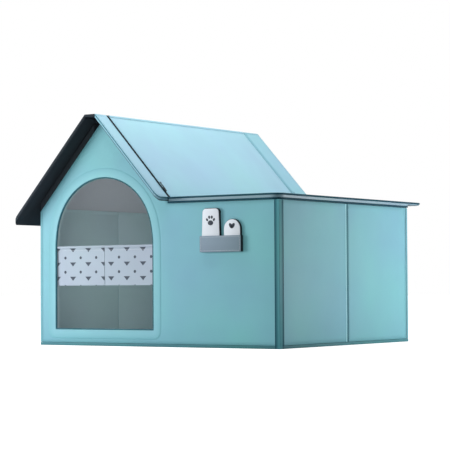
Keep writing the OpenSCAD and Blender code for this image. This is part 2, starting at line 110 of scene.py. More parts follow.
# %% Lamps
LAMPS = {  # place, size, power, what it looks at
    "beside_doorway": ((-1.0, -1.0, 0.35), 0.5, 13.5, (-0.31, -0.27, 0.2)),
    "behind_right_wall": ((1.0, 0.55, 0.25), 0.5, 7.8, (0.31, 0.2, 0.15)),
    "above_ridge": ((-0.2, -0.2, 1.4), 1.0, 18.5, (-0.2, -0.1, 0.4)),
    "low_in_front": ((0.1, -1.4, 0.25), 0.5, 3.5, (0.0, -0.26, 0.15)),
    "in_the_room": ((0.12, -0.14, 0.22), 0.16, 0.62, (-0.3, 0.2, 0.2)),
}
for name, (place, size, power, aim) in LAMPS.items():
    bpy.ops.object.light_add(type="AREA", location=place)
    lamp = bpy.context.object
    lamp.name = name
    lamp.data.size = size
    lamp.data.energy = power
    lamp.visible_camera = False
    lamp.rotation_mode = "QUATERNION"
    lamp.rotation_quaternion = (Vector(aim) - Vector(place)).to_track_quat("-Z", "Y")
print("lamps:", len(LAMPS))

# %% [markdown]
# ## Helpers for modelling
# An operator acts on all that is selected, so each helper first deselects everything and then picks
# its faces or edges by place or direction. `soft_copy` starts a cloth piece from a panel of the frame:
# the copy is merged, and its flat faces become whole again, ready to be rounded and swelled. The front
# and rear covers are two nodes each in the frame, and become one cloth here.

# %% Select, edit and modify
def only(piece):
    """Select this piece alone and make it the active one."""
    for other in bpy.context.selected_objects:
        other.select_set(False)
    piece.select_set(True)
    bpy.context.view_layer.objects.active = piece
    return piece


def leave():
    """Leave edit mode."""
    bpy.ops.object.mode_set(mode="OBJECT")


def choose(piece, kind, test):
    """Open the piece in edit mode, with the parts of one kind chosen for which test(part) holds."""
    only(piece)
    bpy.ops.object.mode_set(mode="EDIT")
    bpy.ops.mesh.select_mode(type=kind)
    bpy.ops.mesh.select_all(action="DESELECT")
    leave()
    mesh = piece.data
    parts = {"VERT": mesh.vertices, "EDGE": mesh.edges, "FACE": mesh.polygons}[kind]
    for part in parts:
        part.select = bool(test(part))
    bpy.ops.object.mode_set(mode="EDIT")


def whole(piece, kind="FACE"):
    """Open the piece in edit mode, with all of its faces or edges chosen."""
    choose(piece, kind, lambda part: True)


def drop(piece, test):
    """Delete the faces for which test(face) holds."""
    choose(piece, "FACE", test)
    bpy.ops.mesh.delete(type="FACE")
    leave()


def modify(piece, kind, **settings):
    """Add a modifier with these settings and apply it."""
    only(piece)
    modifier = piece.modifiers.new(kind.title(), kind)
    for name, value in settings.items():
        setattr(modifier, name, value)
    bpy.ops.object.modifier_apply(modifier=modifier.name)
    return piece


# %% Start from the frame
FLAT = math.radians(0.4)


def joined(pieces, name):
    """Join pieces to one, under that name."""
    only(pieces[0])
    for piece in pieces:
        piece.select_set(True)
    if len(pieces) > 1:
        bpy.ops.object.join()
    pieces[0].name = name
    return pieces[0]


def soft_copy(name, *nodes):
    """A merged copy of a CAD node, or of two that meet at the first one's high X end, with its flat
    faces whole."""
    copies = []
    for node in nodes:
        copies.append(bpy.data.objects.new(node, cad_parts[node].data.copy()))
        bpy.context.scene.collection.objects.link(copies[-1])
        copies[-1].data.materials.clear()
    piece = joined(copies, name)
    bpy.ops.mesh.customdata_custom_splitnormals_clear()
    if len(nodes) > 1:
        seam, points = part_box(nodes[0])[1].x, piece.data.vertices
        drop(piece, lambda f: all(abs(points[i].co.x - seam) < 0.01 * MM for i in f.vertices))
    whole(piece)
    bpy.ops.mesh.remove_doubles(threshold=0.01 * MM)
    bpy.ops.mesh.dissolve_limited(angle_limit=FLAT)
    leave()
    return piece


def round_edges(piece, width, segments=3, angle=30):
    """Round every edge that is sharper than angle."""
    return modify(
        piece,
        "BEVEL",
        width=width,
        segments=segments,
        limit_method="ANGLE",
        angle_limit=math.radians(angle),
        miter_outer="MITER_ARC",
    )


# %% Swell a panel
WAVE_SIZE = 0.11


def looks_along(face, out):
    """Whether a face looks straight along out."""
    return face.normal.dot(out) > 0.999


def cut_at(piece, planes):
    """Cut the piece through with these planes, each given by a point and a direction."""
    whole(piece)
    for place, direction in planes:
        bpy.ops.mesh.select_all(action="SELECT")
        bpy.ops.mesh.bisect(plane_co=place, plane_no=direction)
    leave()


def cut_grid(piece, directions, spacing):
    """Cut the piece through with parallel planes, so that its broad faces can take a soft shape."""
    planes = []
    for direction in directions:
        places = [vertex.co.dot(direction) for vertex in piece.data.vertices]
        start, length = min(places), max(places) - min(places)
        count = max(2, round(length / spacing))
        planes += [(direction * (start + length * i / count), direction) for i in range(1, count)]
    cut_at(piece, planes)


def tree_of(points):
    """A search tree of points."""
    tree = kdtree.KDTree(len(points))
    for i, point in enumerate(points):
        tree.insert(point, i)
    tree.balance()
    return tree


def border_tree(mesh, broad):
    """A search tree of points, 3 mm apart, along the border of these faces."""
    uses = {}
    for face in broad:
        for key in face.edge_keys:
            uses[key] = uses.get(key, 0) + 1
    points = []
    for (a, b), count in uses.items():
        if count == 1:
            start, end = mesh.vertices[a].co, mesh.vertices[b].co
            steps = max(1, math.ceil((end - start).length / (3 * MM)))
            points += [start.lerp(end, i / steps) for i in range(steps)]
    return tree_of(points)


def crown(piece, out, height, reach, wave=0.25 * MM):
    """Swell the broad faces that look along out, by height at reach from their border, and keep the
    distance to the border in the attribute "edge" for the material."""
    mesh = piece.data
    broad = [face for face in mesh.polygons if looks_along(face, out)]
    tree = border_tree(mesh, broad)
    edge = mesh.attributes.new("edge", "FLOAT", "POINT")
    for index in {v for face in broad for v in face.vertices}:
        vertex = mesh.vertices[index]
        distance = tree.find(vertex.co)[2]
        share = min(1, distance / reach)
        rise = share * share * (3 - 2 * share)
        sway = noise.noise(vertex.co / WAVE_SIZE) + 0.5 * noise.noise(vertex.co * 3 / WAVE_SIZE)
        edge.data[index].value = distance
        vertex.co += out * (height * rise + wave * sway * rise)


def mark_edge(piece, distance):
    """Keep distance(point) of each point in the attribute "edge" for the material."""
    edge = piece.data.attributes.new("edge", "FLOAT", "POINT")
    for vertex in piece.data.vertices:
        edge.data[vertex.index].value = distance(vertex.co)


# %% Hand a piece over
def settle(piece, material, slot, body=None, replaced=(), smooth=35, second=None, on=None):
    """Give a finished piece its material, its body and the CAD nodes that it stands for; the slot is not
    used.
    A second material goes on the faces for which on(face) holds."""
    piece.data.materials.clear()
    piece.data.materials.append(material)
    if second:
        piece.data.materials.append(second)
        for face in piece.data.polygons:
            face.material_index = int(on(face))
    only(piece)
    bpy.ops.object.shade_smooth_by_angle(angle=math.radians(smooth))
    if replaced:
        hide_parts(*replaced)
    if body:
        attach(piece, body)
    print(f"{piece.name}: {len(piece.data.polygons)} faces")
    return piece


# %% [markdown]
# ## Finishes
# The effects that several cloths share are shader groups: the threads of a weave, slow changes of tone,
# soft wrinkles, and a border that darkens with painted shade. Each puts out a value or a colour, and each
# material places it with its own numbers.

# %% Node helpers
SOCKETS = {type(None): "NodeSocketVector", float: "NodeSocketFloat", tuple: "NodeSocketColor"}


def new_group(name, output, **inputs):
    """An empty shader group, with its inputs and its one output. An input without a value takes
    coordinates, and a number or a colour is what an input holds until something is put in."""
    group = bpy.data.node_groups.new(name, "ShaderNodeTree")
    for label, value in inputs.items():
        kind = SOCKETS[type(value)]
        socket = group.interface.new_socket(label.replace("_", " "), in_out="INPUT", socket_type=kind)
        if value is not None:
            socket.default_value = value
    kind = SOCKETS[tuple if output == "Color" else float]
    group.interface.new_socket(output, in_out="OUTPUT", socket_type=kind)
    return group, group.nodes.new("NodeGroupInput").outputs, group.nodes.new("NodeGroupOutput").inputs[0]


def add(tree, kind, settings=(), **values):
    """A node with these settings, its input sockets set to values or linked to other sockets."""
    made = tree.nodes.new(kind)
    for name, value in dict(settings).items():
        setattr(made, name, value)
    for label, value in values.items():
        key = int(label[1:]) if label[0] == "i" and label[1:].isdigit() else label.replace("_", " ")
        if isinstance(value, bpy.types.NodeSocket):
            tree.links.new(value, made.inputs[key])
        else:
            made.inputs[key].default_value = value
    return made


def maths(tree, operation, *values):
    """The result of a Math node on up to three values or sockets."""
    numbered = {f"i{i}": value for i, value in enumerate(values)}
    return add(tree, "ShaderNodeMath", {"operation": operation}, **numbered).outputs[0]


def patchy(tree, where, scale, detail, settings=(), **values):
    """Soft noise at these coordinates."""
    values |= {"Vector": where, "Scale": scale, "Detail": detail}
    return add(tree, "ShaderNodeTexNoise", settings, **values).outputs["Fac"]


def near_edge(tree, width, most):
    """A value that falls from most at a panel's border to nothing at width from it."""
    distance = add(tree, "ShaderNodeAttribute", {"attribute_name": "edge"}).outputs["Fac"]
    ends = {"From_Max": width, "To_Min": most, "To_Max": 0.0}
    smooth = {"interpolation_type": "SMOOTHSTEP"}
    return add(tree, "ShaderNodeMapRange", smooth, Value=distance, **ends).outputs["Result"]


def mixed(tree, share, first, second):
    """The mix of two colours."""
    node = add(tree, "ShaderNodeMix", {"data_type": "RGBA"}, Factor=share, i6=first, i7=second)
    return node.outputs[2]


# %% Weave
weave, weave_in, weave_out = new_group("weave", "Height", Coordinates=None, Threads=900.0)
density = maths(weave, "MULTIPLY", weave_in["Threads"], 2 * math.pi)
scaled = {"Vector": weave_in["Coordinates"], "Scale": density}
turns = add(weave, "ShaderNodeVectorMath", {"operation": "SCALE"}, **scaled)
sides = add(weave, "ShaderNodeSeparateXYZ", Vector=turns.outputs[0])
waves = [maths(weave, "SINE", sides.outputs[i]) for i in range(3)]
total = maths(weave, "ADD", maths(weave, "ADD", waves[0], waves[1]), waves[2])
weave.links.new(maths(weave, "MULTIPLY", total, 1 / 3), weave_out)

# %% Slow changes of tone
tone, tone_in, tone_out = new_group(
    "cloth_tone", "Color", Coordinates=None, Color=(0.5, 0.5, 0.5, 1), Change=0.05, Patch_Scale=6.0
)
spread_out = {"tree": tone, "where": tone_in["Coordinates"], "scale": tone_in["Patch Scale"]}
patches = patchy(**spread_out, detail=5.0, Roughness=0.6)
change = maths(tone, "MULTIPLY", maths(tone, "SUBTRACT", patches, 0.5), tone_in["Change"])
value = maths(tone, "MULTIPLY_ADD", change, 4.0, 1.0)
drift = patchy(**spread_out, detail=2.0, settings={"noise_dimensions": "4D"}, W=7.0)
hue = maths(tone, "MULTIPLY_ADD", drift, 0.09, 0.455)
shaded = add(tone, "ShaderNodeHueSaturation", Hue=hue, Value=value, Color=tone_in["Color"])
tone.links.new(shaded.outputs["Color"], tone_out)

# %% Wrinkles
wrinkles, wrinkles_in, wrinkles_out = new_group("wrinkles", "Height", Coordinates=None, Pucker_Scale=90.0)
where = wrinkles_in["Coordinates"]
swells = patchy(wrinkles, where, 11.0, 3.0, Distortion=0.6)
puckers = patchy(wrinkles, where, wrinkles_in["Pucker Scale"], 2.0)
gathered = maths(wrinkles, "MULTIPLY", puckers, near_edge(wrinkles, 0.022, 0.35))
wrinkles.links.new(maths(wrinkles, "ADD", swells, gathered), wrinkles_out)

# %% Painted shade at the border of a panel
rim, rim_in, rim_out = new_group(
    "panel_border_painted_shade",
    "Color",
    Color=(0.5, 0.5, 0.5, 1),
    Border_Color=(0.4, 0.4, 0.4, 1),
    Width=0.006,
    Amount=0.5,
)
closeness = near_edge(rim, rim_in["Width"], rim_in["Amount"])
rim.links.new(mixed(rim, closeness, rim_in["Color"], rim_in["Border Color"]), rim_out)

# %% Cloth
def srgb(red, green, blue):
    """A colour as a picture shows it, 0 to 255, turned into the linear colour that a shader takes."""
    def linear(value):
        share = value / 255
        return share / 12.92 if share <= 0.04045 else ((share + 0.055) / 1.055) ** 2.4

    return (linear(red), linear(green), linear(blue), 1.0)


def use(tree, group, **values):
    """Place a shader group, and take what it puts out."""
    return add(tree, "ShaderNodeGroup", {"node_tree": group}, **values).outputs[0]


def cloth(
    name,
    colour,
    border=None,
    border_width=7 * MM,
    border_amount=0.45,
    roughness=0.55,
    change=0.04,
    threads=900.0,
    thread_height=0.04 * MM,
    sheen=0.15,
    coat=0.0,
    gloss=0.5,
):
    """A woven cloth: its colour changes slowly, darkens at the border with painted shade, and its threads
    stand up.
    """
    material = bpy.data.materials.new(name)
    material.use_nodes = True
    tree = material.node_tree
    shader = tree.nodes["Principled BSDF"]
    where = add(tree, "ShaderNodeTexCoord").outputs["Object"]
    shown = use(tree, tone, Coordinates=where, Color=srgb(*colour), Change=change)
    if border:
        edging = {"Border_Color": srgb(*border), "Width": border_width, "Amount": border_amount}
        shown = use(tree, rim, Color=shown, **edging)
    folds = use(tree, wrinkles, Coordinates=where)
    yarn = use(tree, weave, Coordinates=where, Threads=threads)
    soft = add(tree, "ShaderNodeBump", Height=folds, Distance=0.5 * MM, Strength=0.6).outputs[0]
    fine = add(tree, "ShaderNodeBump", Height=yarn, Distance=thread_height, Strength=0.5, Normal=soft)
    matt = maths(tree, "MULTIPLY_ADD", folds, 0.12, roughness - 0.08)
    tree.links.new(shown, shader.inputs["Base Color"])
    tree.links.new(matt, shader.inputs["Roughness"])
    tree.links.new(fine.outputs[0], shader.inputs["Normal"])
    constants = {"Specular IOR Level": gloss, "Sheen Weight": sheen, "Sheen Roughness": 0.4}
    constants |= {"Coat Weight": coat, "Coat Roughness": 0.35}
    for label, amount in constants.items():
        shader.inputs[label].default_value = amount
    return material


# %% The cloths of the house
SATIN = {"roughness": 0.6, "sheen": 0.05, "gloss": 0.3}
DULL = {"roughness": 0.7, "sheen": 0.0, "gloss": 0.2, "change": 0.02}
TRIM = DULL | {"roughness": 0.6}
FELT = {"roughness": 0.9, "threads": 500.0, "change": 0.03, "sheen": 0.0}
THREAD = {"roughness": 0.45, "change": 0.02}
# The wall cloth's darker border colour is painted shade along its seams and edges.
wall_cloth = cloth("teal_wall_cloth", (112, 174, 186), (78, 138, 149), **SATIN)
# The facing is the wall cloth; its paler colour is a painted highlight that fades to the wall's colour at its
# outer rim.
facing_painted_highlight_cloth = cloth("teal_facing_cloth", (124, 184, 195), (112, 174, 186), 19 * MM, 1.0, **SATIN)
# The roof is the same cloth as the walls; its paler colour, and that of its thread, is painted light falling
# from above.
roof_cloth = cloth("roof_cloth_painted_light", (160, 203, 219), (128, 180, 198), **SATIN)
# The rear flap's deeper colour is painted shade towards the rear end of the slope.
rear_flap_cloth = cloth("roof_cloth_painted_shade", (148, 197, 212), (122, 176, 192), **SATIN)
# The very dark border of the corner tape is painted shadow along its inner edges.
corner_cloth = cloth("teal_corner_cloth", (72, 140, 148), (8, 74, 88), 10 * MM, 1.0, **TRIM)
base_edge_cloth = cloth("base_edge_cloth", (66, 124, 132), **TRIM)
binding_cloth = cloth("dark_binding_cloth", (14, 64, 78), threads=700.0, **DULL)
tape_cloth = cloth("teal_tape_cloth", (40, 92, 104), threads=700.0, **DULL)
flap_cord_cloth = cloth("teal_piping_cloth", (58, 112, 124), **DULL)
flap_edge_cloth = cloth("pale_edge_cloth", (126, 176, 192), **TRIM)
# The fold strip is dark as painted shade in the groove, and pale as a painted highlight on the front half's
# rounded edge.
fold_cloth = cloth("teal_fold_painted_shade", (22, 88, 100), **DULL)
fold_highlight_cloth = cloth("fold_painted_highlight", (172, 226, 232), **TRIM)
zip_black = cloth("black_zip_tape", (4, 24, 32), threads=1100.0, **DULL)
zip_teal = cloth("teal_zip_tape", (134, 184, 198), threads=1100.0, **TRIM)
grey_piping = cloth("grey_piping_cloth", (120, 150, 160))
lid_side_cloth = cloth("grey_lid_side_cloth", (120, 155, 170), roughness=0.5)
black_cloth = cloth("black_lining_cloth", (50, 57, 63), roughness=0.9, sheen=0.0, gloss=0.03)
felt = cloth("grey_lining_felt", (166, 188, 192), **FELT)
roof_felt = cloth("warm_grey_lining_felt", (178, 180, 186), **FELT)
pocket_felt = cloth("grey_pocket_felt", (122, 141, 156), roughness=0.85, threads=600.0)
white_felt = cloth("white_tag_felt", (216, 224, 232), roughness=0.8, threads=600.0)
motif_felt = cloth("dark_motif_felt", (52, 60, 70), roughness=0.9, threads=600.0)
cardboard = cloth("stiff_board", (196, 172, 138), roughness=0.8, threads=250.0)
enamel = cloth("white_enamel", (214, 214, 218), roughness=0.3, change=0.01, coat=0.4, sheen=0.0)
zinc = cloth("black_zinc", (22, 40, 46), sheen=0.0, gloss=0.4, **THREAD)
painted_zinc = cloth("painted_zinc", (110, 160, 174), gloss=0.4, **THREAD)
wall_thread = cloth("teal_thread", (104, 162, 172), **THREAD)
roof_thread = cloth("roof_thread_painted_light", (150, 194, 210), **THREAD)
white_thread = cloth("white_thread", (206, 210, 218), roughness=0.5, change=0.02)
print("materials:", len(bpy.data.materials))

# %% Print on the curtains
PRINT_WIDE, PRINT_HIGH = 42.5 * MM, 30.7 * MM
MARK_WIDE, MARK_HIGH = 17 * MM, 9 * MM
DOT_R = 3.2 * MM


def repeat(tree, length, period, shift):
    """Distance to the middle of the nearest repeat of a pattern, in metres."""
    turns = maths(tree, "FRACT", maths(tree, "MULTIPLY_ADD", length, 1 / period, shift))
    return maths(tree, "MULTIPLY", maths(tree, "SUBTRACT", turns, 0.5), period)


def printed_cotton(name, ground, ink):
    """White cotton with rows of small triangles and, halfway between them, dots, laid out by the
    sheet's own UV map, which is in metres."""
    material = cloth(name, ground, roughness=0.85, threads=1200.0, thread_height=0.06 * MM)
    tree = material.node_tree
    base = tree.nodes["Principled BSDF"].inputs["Base Color"]
    flat = add(tree, "ShaderNodeSeparateXYZ", Vector=add(tree, "ShaderNodeTexCoord").outputs["UV"])
    across, down = flat.outputs[0], flat.outputs[1]
    mark_x = maths(tree, "ABSOLUTE", repeat(tree, across, PRINT_WIDE, 0.5))
    mark_z = repeat(tree, down, PRINT_HIGH, 0.716)
    left_over = maths(tree, "SUBTRACT", 0.5, maths(tree, "DIVIDE", mark_z, MARK_HIGH))
    half_wide = maths(tree, "MULTIPLY", left_over, MARK_WIDE / 2)
    inside = maths(tree, "LESS_THAN", mark_x, half_wide)
    below_top = maths(tree, "GREATER_THAN", mark_z, -MARK_HIGH / 2)
    dot_x = repeat(tree, across, PRINT_WIDE, 0.0)
    dot_z = repeat(tree, down, PRINT_HIGH, 0.18)
    squares = maths(tree, "ADD", maths(tree, "POWER", dot_x, 2.0), maths(tree, "POWER", dot_z, 2.0))
    dots = maths(tree, "LESS_THAN", squares, DOT_R**2)
    both = maths(tree, "MAXIMUM", maths(tree, "MULTIPLY", inside, below_top), dots)
    inked = mixed(tree, maths(tree, "MULTIPLY", both, 0.9), base.links[0].from_socket, srgb(*ink))
    tree.links.new(inked, base)
    return material


curtain_cloth = printed_cotton("printed_white_cotton", (162, 176, 191), (36, 46, 62))

# %% [markdown]
# ## Floor and background
# A plain pale floor in a white room. What the camera sees of the floor is lifted to white with Light
# Path, so that it stays white while the house still leaves its soft shadow. The white background is
# only what the camera and reflections see, so it adds little light to the house.

# %% World
SKY_LIGHT = 0.04

world = bpy.data.worlds.new("pale_room")
bpy.context.scene.world = world
world.use_nodes = True
sky = world.node_tree
sky.nodes.clear()
rays = add(sky, "ShaderNodeLightPath").outputs
mirrored = maths(sky, "MAXIMUM", rays["Is Camera Ray"], rays["Is Glossy Ray"])
seen = maths(sky, "MAXIMUM", mirrored, rays["Is Transmission Ray"])
strength = add(sky, "ShaderNodeMapRange", Value=seen, To_Min=SKY_LIGHT, To_Max=1.0).outputs["Result"]
background = add(sky, "ShaderNodeBackground", Color=(1, 1, 1, 1), Strength=strength)
add(sky, "ShaderNodeOutputWorld", Surface=background.outputs[0])
bpy.context.scene.view_settings.view_transform = "Standard"
print("sky light:", SKY_LIGHT)

# %% Floor
FLOOR_SIZE, FLOOR_DROP = 30, 0.4 * MM
FLOOR_GLOW = 0.95

bpy.ops.mesh.primitive_plane_add(size=FLOOR_SIZE, location=(0, 0, -FLOOR_DROP))
floor = only(bpy.context.object)
floor.name = "floor"
pale = bpy.data.materials.new("pale_floor")
pale.use_nodes = True
ground = pale.node_tree
ground_shader = ground.nodes["Principled BSDF"]
ground_shader.inputs["Base Color"].default_value = (0.45, 0.45, 0.45, 1)
ground_shader.inputs["Roughness"].default_value = 0.9
ground_shader.inputs["Emission Color"].default_value = (1, 1, 1, 1)
camera_ray = add(ground, "ShaderNodeLightPath").outputs["Is Camera Ray"]
ground.links.new(maths(ground, "MULTIPLY", camera_ray, FLOOR_GLOW), ground_shader.inputs["Emission Strength"])
floor.data.materials.append(pale)
print("floor:", tuple(floor.dimensions)[:2])

# %% [markdown]
# ## Helpers for seams, cords and strips
# Most of the trim follows a border: a row of stitches, a binding, a piping cord. `hem_paths` walks the
# border of a panel's broad face and draws it in, as a tailor chalks a seam line. Cords are curves with
# a round section, and strips are a thin line of cloth pulled along a straight fold.

# %% Seam lines
def hem_paths(piece, out, inset, lift=0.12 * MM):
    """Closed paths of points on the broad face along out, drawn in by inset from each border."""
    mesh = piece.data
    steps = set()
    for face in mesh.polygons:
        if looks_along(face, out):
            ring = list(face.vertices)
            steps.update(zip(ring, ring[1:] + ring[:1]))
    follow = {a: b for a, b in steps if (b, a) not in steps}
    paths = []
    while follow:
        start, now = follow.popitem()
        ring = [start]
        while now != start:
            ring.append(now)
            now = follow.pop(now)
        points = [mesh.vertices[i].co for i in ring]
        count = len(points)
        ways = [(points[(i + 1) % count] - points[i]).normalized() for i in range(count)]
        drawn = []
        for i, point in enumerate(points):
            before, after = out.cross(ways[i - 1]), out.cross(ways[i])
            step = (before + after) / max(0.3, 1 + before.dot(after))
            drawn.append(point + step * inset + out * lift)
        paths.append(drawn)
    return sorted(paths, key=len)


# %% Cords
def line(name, points, closed=False):
    """A curve of straight steps through points."""
    data = bpy.data.curves.new(name, "CURVE")
    data.dimensions = "3D"
    spline = data.splines.new("POLY")
    spline.points.add(len(points) - 1)
    for spot, point in zip(spline.points, points):
        spot.co = (*point, 1)
    spline.use_cyclic_u = closed
    piece = bpy.data.objects.new(name, data)
    bpy.context.scene.collection.objects.link(piece)
    return piece


def straight(start, end, count):
    """Points (x, y) in even steps from start to end."""
    return [tuple(Vector(start).lerp(Vector(end), i / count)) for i in range(count + 1)]


def arc(x, y, radius, start, end, count):
    """Points (x, y) of an arc round the point x, y, from one angle to another, in degrees."""
    turns = [math.radians(start + (end - start) * i / count) for i in range(count + 1)]
    return [(x + radius * math.cos(turn), y + radius * math.sin(turn)) for turn in turns]


def chain(*parts):
    """One path out of parts that each start where the one before ends."""
    return [*parts[0], *[point for part in parts[1:] for point in part[1:]]]


def as_meshes(curves):
    """Turn curves into meshes."""
    for piece in curves:
        only(piece)
        bpy.ops.object.convert(target="MESH")
    return curves


def close_up(piece):
    """Merge doubled points and turn the faces outwards."""
    whole(piece)
    bpy.ops.mesh.remove_doubles(threshold=0.01 * MM)
    bpy.ops.mesh.normals_make_consistent(inside=False)
    leave()
    return piece


def round_cord(name, points, radius):
    """A round cord along points, as a mesh with closed ends."""
    piece = line(name, points)
    piece.data.bevel_depth = radius
    piece.data.bevel_resolution = 2
    piece.data.use_fill_caps = True
    return close_up(as_meshes([piece])[0])


# %% Stitches
STITCH = Vector((1.6, 0.3, 0.3)) * MM  # half of its length, width and height


def repeated(piece, pitch, **fit):
    """Repeat the piece along X, once every pitch."""
    step = {"use_constant_offset": True, "constant_offset_displace": (pitch, 0, 0)}
    return modify(piece, "ARRAY", use_relative_offset=False, **step, **fit)


def sew(name, paths, thread, body, slot, pitch=5 * MM, closed=True):
    """Rows of stitches along paths: one small stitch, repeated along each path, in one mesh."""
    rows = []
    for path in paths:
        rail = line(name + "_rail", path, closed)
        bpy.ops.mesh.primitive_uv_sphere_add(segments=6, ring_count=4, radius=1)
        row = only(bpy.context.object)
        row.data.transform(Matrix.Diagonal((*STITCH, 1)))
        row.data.transform(Matrix.Translation((pitch / 2, 0, 0)))
        repeated(row, pitch, fit_type="FIT_CURVE", curve=rail)
        modify(row, "CURVE", object=rail, deform_axis="POS_X")
        bpy.data.objects.remove(rail)
        rows.append(row)
    return settle(joined(rows, name), thread, slot, body, smooth=60)


# %% Folded strips
def strip(name, profile, along, thickness):
    """A strip of cloth with that profile, pulled along a straight line."""
    piece = as_meshes([line(name, profile)])[0]
    whole(piece, "EDGE")
    bpy.ops.mesh.extrude_region_move(TRANSFORM_OT_translate={"value": along})
    leave()
    modify(close_up(piece), "SOLIDIFY", thickness=thickness, offset=0)
    return close_up(piece)


def bar(name, outline, along):
    """A bar of felt or foam: a flat outline pulled along a straight line, with closed ends."""
    piece = as_meshes([line(name, outline, True)])[0]
    whole(piece, "EDGE")
    bpy.ops.mesh.edge_face_add()
    bpy.ops.mesh.extrude_region_move(TRANSFORM_OT_translate={"value": along})
    leave()
    return close_up(piece)


def bend_over(piece, material, slot, bodies, start, end, **sides):
    """Hand over a strip of cloth that crosses a joint."""
    settle(piece, material, slot, smooth=50, **sides)
    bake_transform(piece)


# %% [markdown]
# ## Walls
# Each wall is one stiff panel under a thinly padded cloth. The padding pulls flat at the seams and
# stands up by less than a millimetre between them: more would press the walls apart when they fold.
# A row of stitches runs inside each border, where the cover is closed round its board.

# %% Wall covers
WALLS = {  # body, outwards, spacing of the cuts that let the cloth swell
    "front": ("base", -Y, 7 * MM),
    "right_front": ("right_front_wall", X, 12 * MM),
    "right_rear": ("right_rear_wall", X, 12 * MM),
    "left_front": ("left_front_wall", -X, 14 * MM),
    "left_rear": ("left_rear_wall", -X, 14 * MM),
    "rear": ("rear_wall", Y, 14 * MM),
}


def covers(wall):
    """The CAD nodes of a wall's cover."""
    parts = ["_gable", "_low"] if wall in ("front", "rear") else [""]
    return [wall + part + "_cover" for part in parts]


WALL_SEAM = 5.5 * MM
WALL_SWELL, WALL_REACH = 0.8 * MM, 40 * MM
FACING_LINES = (-1.2 * MM, 19 * MM, 16.5 * MM)  # its edge, its rim and its seam


def highest(loop):
    """How high a path reaches."""
    return max(point.z for point in loop)


wall_pieces, doorway_paths = {}, []
for wall, (body, out, spacing) in WALLS.items():
    piece = round_edges(soft_copy(wall + "_wall_cloth", *covers(wall)), 1.5 * MM)
    seams = hem_paths(piece, out, WALL_SEAM)
    if wall == "front":
        for inset in FACING_LINES:
            doorway_paths.append(min(hem_paths(piece, out, inset, 0.6 * MM), key=highest))
        seams = [max(seams, key=highest)]
    cut_grid(piece, [X if abs(out.y) > 0.5 else Y, Z], spacing)
    crown(piece, out, WALL_SWELL, WALL_REACH)
    wall_pieces[wall] = settle(piece, wall_cloth, "wall_cover", body, covers(wall))
    sew(wall + "_wall_stitches", seams, wall_thread, body, "wall_cover")

# %% Wall linings
def skin(name, nodes, out, holes):
    """A thin layer of cloth over the whole of a cover's face along out, round its doorway too."""
    guide = soft_copy(name + "_guide", *nodes)
    loops = hem_paths(guide, out, 0.1 * MM, 0)
    bpy.data.objects.remove(guide)
    loops.sort(key=lambda loop: sum((b - a).length for a, b in zip(loop, loop[1:] + loop[:1])))
    rings = as_meshes([line(name, loop, True) for loop in [loops[-1], *loops[:holes]]])
    piece = joined(rings, name)
    whole(piece, "EDGE")
    bpy.ops.mesh.fill()
    bpy.ops.mesh.dissolve_limited(angle_limit=FLAT)
    leave()
    turn_towards(piece, out)
    modify(piece, "SOLIDIFY", thickness=0.35 * MM, offset=1)
    return round_edges(close_up(piece), 0.15 * MM, 2, 50)


def turn_towards(piece, out):
    """Flip the piece's faces if they look away from out."""
    if sum(face.normal.dot(out) * face.area for face in piece.data.polygons) < 0:
        whole(piece)
        bpy.ops.mesh.flip_normals()
        leave()


for wall, (body, out, spacing) in WALLS.items():
    layer = round_edges(soft_copy(wall + "_layer", wall + "_lining"), 0.6 * MM, 2)
    face = skin(wall + "_skin", covers(wall), -out, 1 if wall == "front" else 0)
    settle(joined([layer, face], wall + "_lining_felt"), felt, "inner_lining", body, [wall + "_lining"])

piece = round_edges(soft_copy("floor_mat_felt", "floor_mat"), 0.6 * MM, 2)
settle(piece, felt, "inner_lining", "base", ["floor_mat"])

# %% [markdown]
# ## Doorway
# The doorway has a wide facing of the wall cloth sewn round it, which stands up a little and catches
# the light, and its raw edge is closed with a dark tape. The facing's paler colour is a painted highlight,
# which fades back to the wall's colour at its outer rim. The facing starts as two rings, one at the
# edge and one further out. Bridging them gives a flat ring that can be laid on the swelled wall. Its
# outer rim, whose points come second in the mesh, is pressed into the padding, and the seam beside it
# is sewn in the facing's own colour.

# %% Facing of the doorway
RIM_PRESSED = 0.45 * MM

doorway_inner, doorway_outer, doorway_seam = doorway_paths
rings = [line("doorway_facing", doorway_inner, True), line("facing_rim", doorway_outer, True)]
facing = joined(as_meshes(rings), "doorway_facing")
whole(facing, "EDGE")
bpy.ops.mesh.bridge_edge_loops(number_cuts=5, interpolation="LINEAR")
bpy.ops.mesh.select_all(action="SELECT")
bpy.ops.mesh.normals_make_consistent(inside=False)
leave()
turn_towards(facing, -Y)
modify(
    facing,
    "SHRINKWRAP",
    target=wall_pieces["front"],
    wrap_method="PROJECT",
    use_project_y=True,
    use_positive_direction=True,
    use_negative_direction=True,
    project_limit=4 * MM,
    offset=0.3 * MM,
)
rim_count = len(doorway_outer)
for vertex in facing.data.vertices[rim_count : 2 * rim_count]:
    vertex.co.y += RIM_PRESSED
turn_towards(facing, -Y)
modify(facing, "SOLIDIFY", thickness=0.14 * MM, offset=-0.2)
round_edges(facing, 0.06 * MM, 2, 50)
steps = zip(doorway_outer, doorway_outer[1:] + doorway_outer[:1])
outer_rim = tree_of([a.lerp(b, i / 40) for a, b in steps for i in range(40)])
# The distance from the outer rim fades the facing's painted highlight back to the wall's colour.
mark_edge(facing, lambda spot: outer_rim.find(spot)[2])
settle(facing, facing_painted_highlight_cloth, "wall_cover", "base")
sew("doorway_stitches", [doorway_seam], facing_painted_highlight_cloth, "base", "wall_cover")

